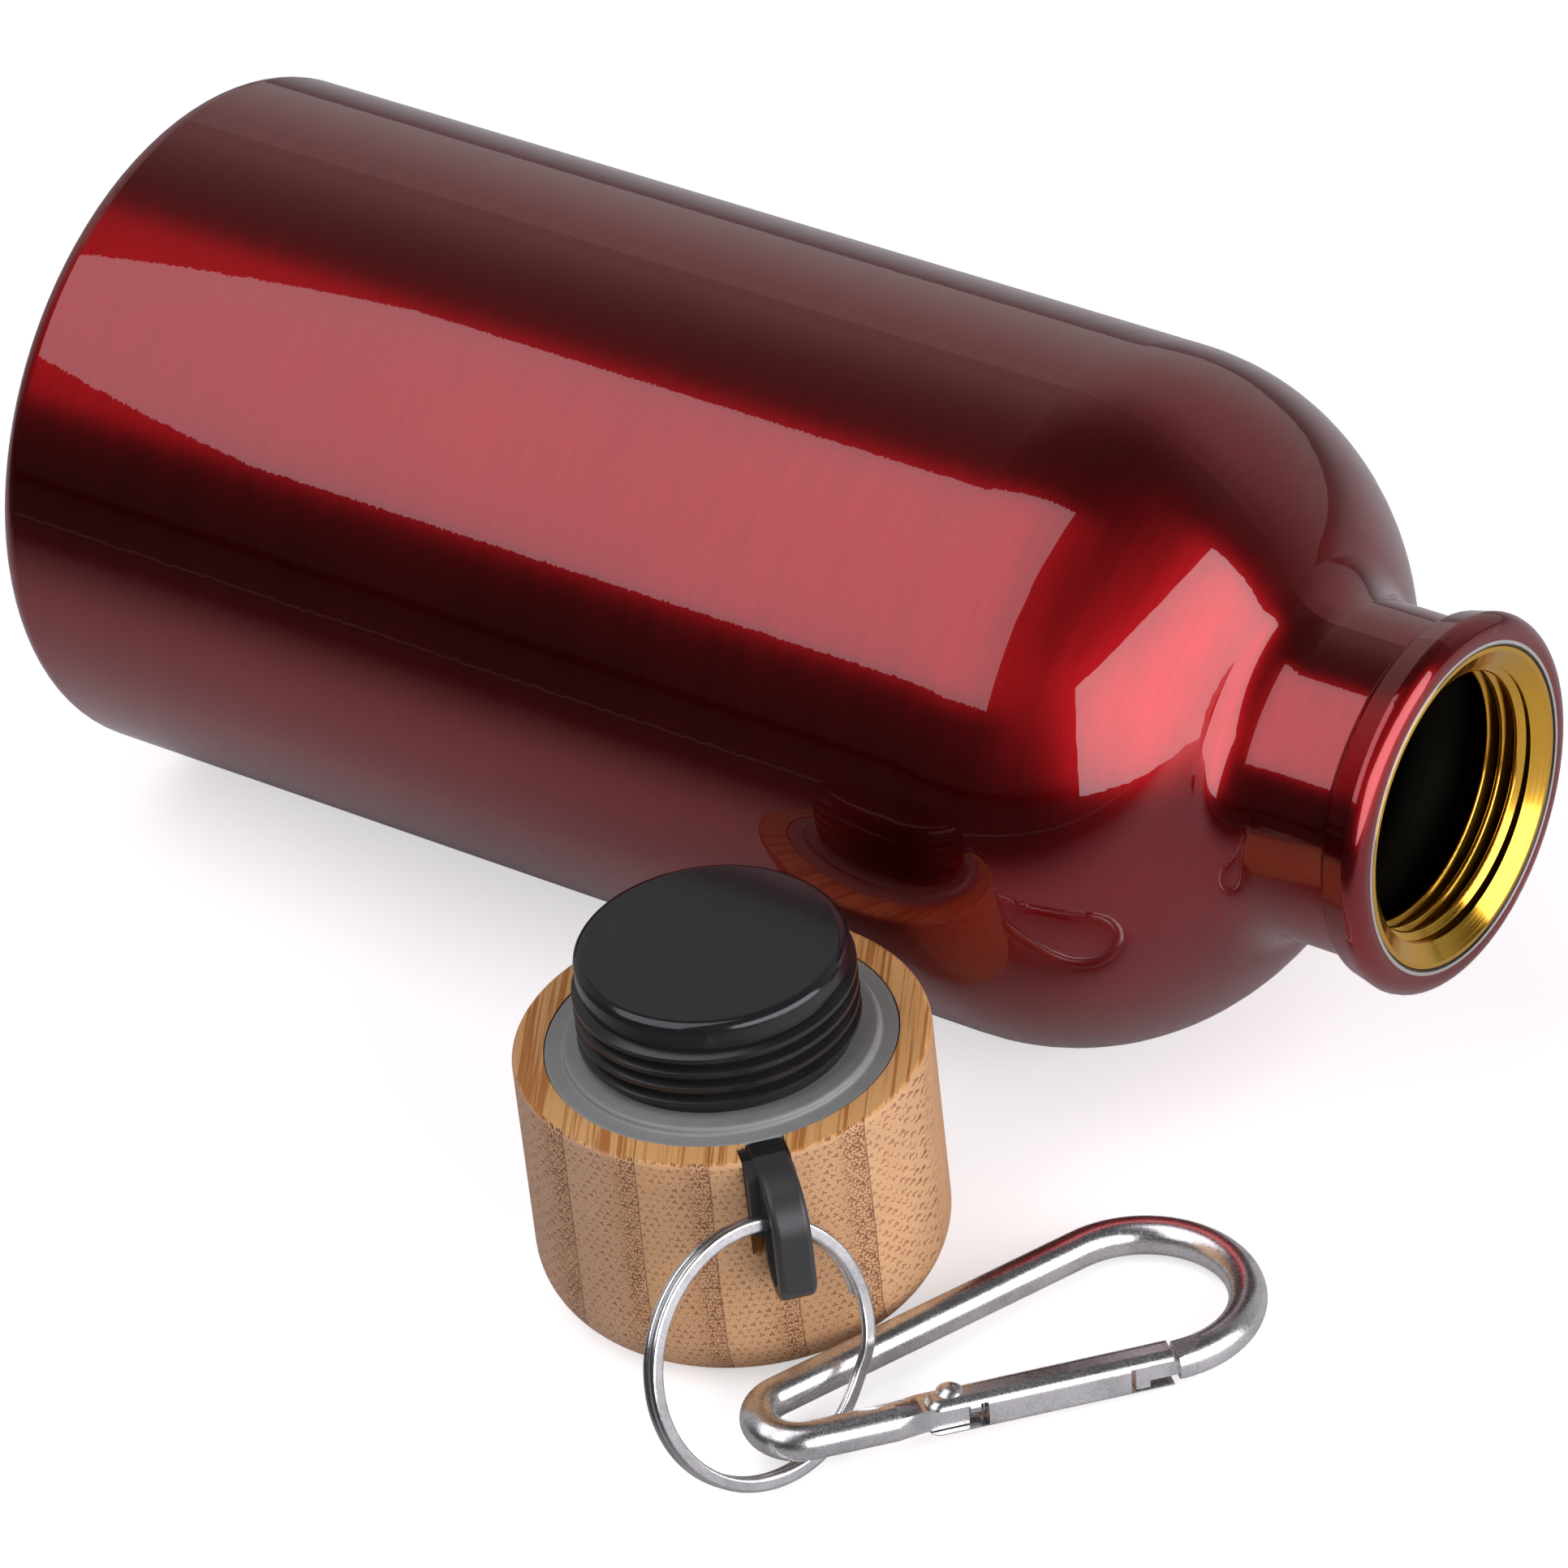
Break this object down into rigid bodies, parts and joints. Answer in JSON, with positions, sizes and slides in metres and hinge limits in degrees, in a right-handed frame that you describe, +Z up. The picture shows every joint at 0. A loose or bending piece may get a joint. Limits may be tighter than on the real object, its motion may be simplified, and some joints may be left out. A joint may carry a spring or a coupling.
{
  "type": "canteen",
  "caption": "Small aluminium drinking bottle with a bamboo screw cap, gasket, split ring and snap hook, lying open with the cap beside it.",
  "frame": {"origin": "centre of the flat end face the cap stands on, at floor level", "axes": "+X along the lying bottle's axis from its base to its mouth, +Z up from the floor"},
  "size_m": [0.144, 0.1187, 0.066],
  "materials": {
    "red_lacquer": "translucent gloss lacquer",
    "gold_lacquer": "gloss lacquer",
    "bamboo": "matt oiled",
    "black_plastic": "gloss",
    "grey_rubber": "matt",
    "ring_steel": "bright",
    "hook_metal": "satin plated",
    "spring_steel": "bright"
  },
  "bodies": {
    "bottle": {"bottle_shell": "red_lacquer", "thread_collar": "gold_lacquer"},
    "gasket_ring": {"gasket": "grey_rubber"},
    "cap": {"bamboo_cap": "bamboo", "cap_insert": "black_plastic"},
    "key_ring": {"split_ring": "ring_steel"},
    "hook": {"carabiner_body": "hook_metal"},
    "gate": {"carabiner_gate": "hook_metal", "gate_rivet": "hook_metal", "gate_spring": "spring_steel"},
    "plunger": {"spring_plunger": "spring_steel"}
  },
  "joints": [
    {"name": "cap_lift", "type": "slide", "parent": "bottle", "child": "gasket_ring", "axis": [0, 0, 1], "range_m": [0, 0.1]},
    {"name": "cap_turn", "type": "hinge", "parent": "gasket_ring", "child": "cap", "pos_m": [0, 0, 0.0246], "axis": [0, 0, -1], "range_deg": [0, 120]},
    {"name": "ring_swing", "type": "hinge", "parent": "cap", "child": "key_ring", "pos_m": [0.01683, -0.01453, 0.02107], "axis": [-0.3503, -0.7613, 0.5456], "range_deg": [0, 45]},
    {"name": "hook_swing", "type": "hinge", "parent": "key_ring", "child": "hook", "pos_m": [0.02177, -0.02001, 0.0011], "axis": [-0.1661, -0.9658, -0.1991], "range_deg": [0, 60]},
    {"name": "gate_open", "type": "hinge", "parent": "hook", "child": "gate", "pos_m": [0.03004, -0.0111, 0.00319], "axis": [0.0296, 0.0375, 0.9989], "range_deg": [0, 30], "stiffness_Nm_per_rad": 0.002},
    {"name": "plunger_slide", "type": "slide", "parent": "gate", "child": "plunger", "axis": [0.6191, 0.7839, -0.0478], "range_m": [0, 0.00032], "deforming": ["gate_spring"]}
  ],
  "couplings": [
    {"joint": "plunger_slide", "follows": "gate_open", "m_per_rad": 0.0006}
  ]
}
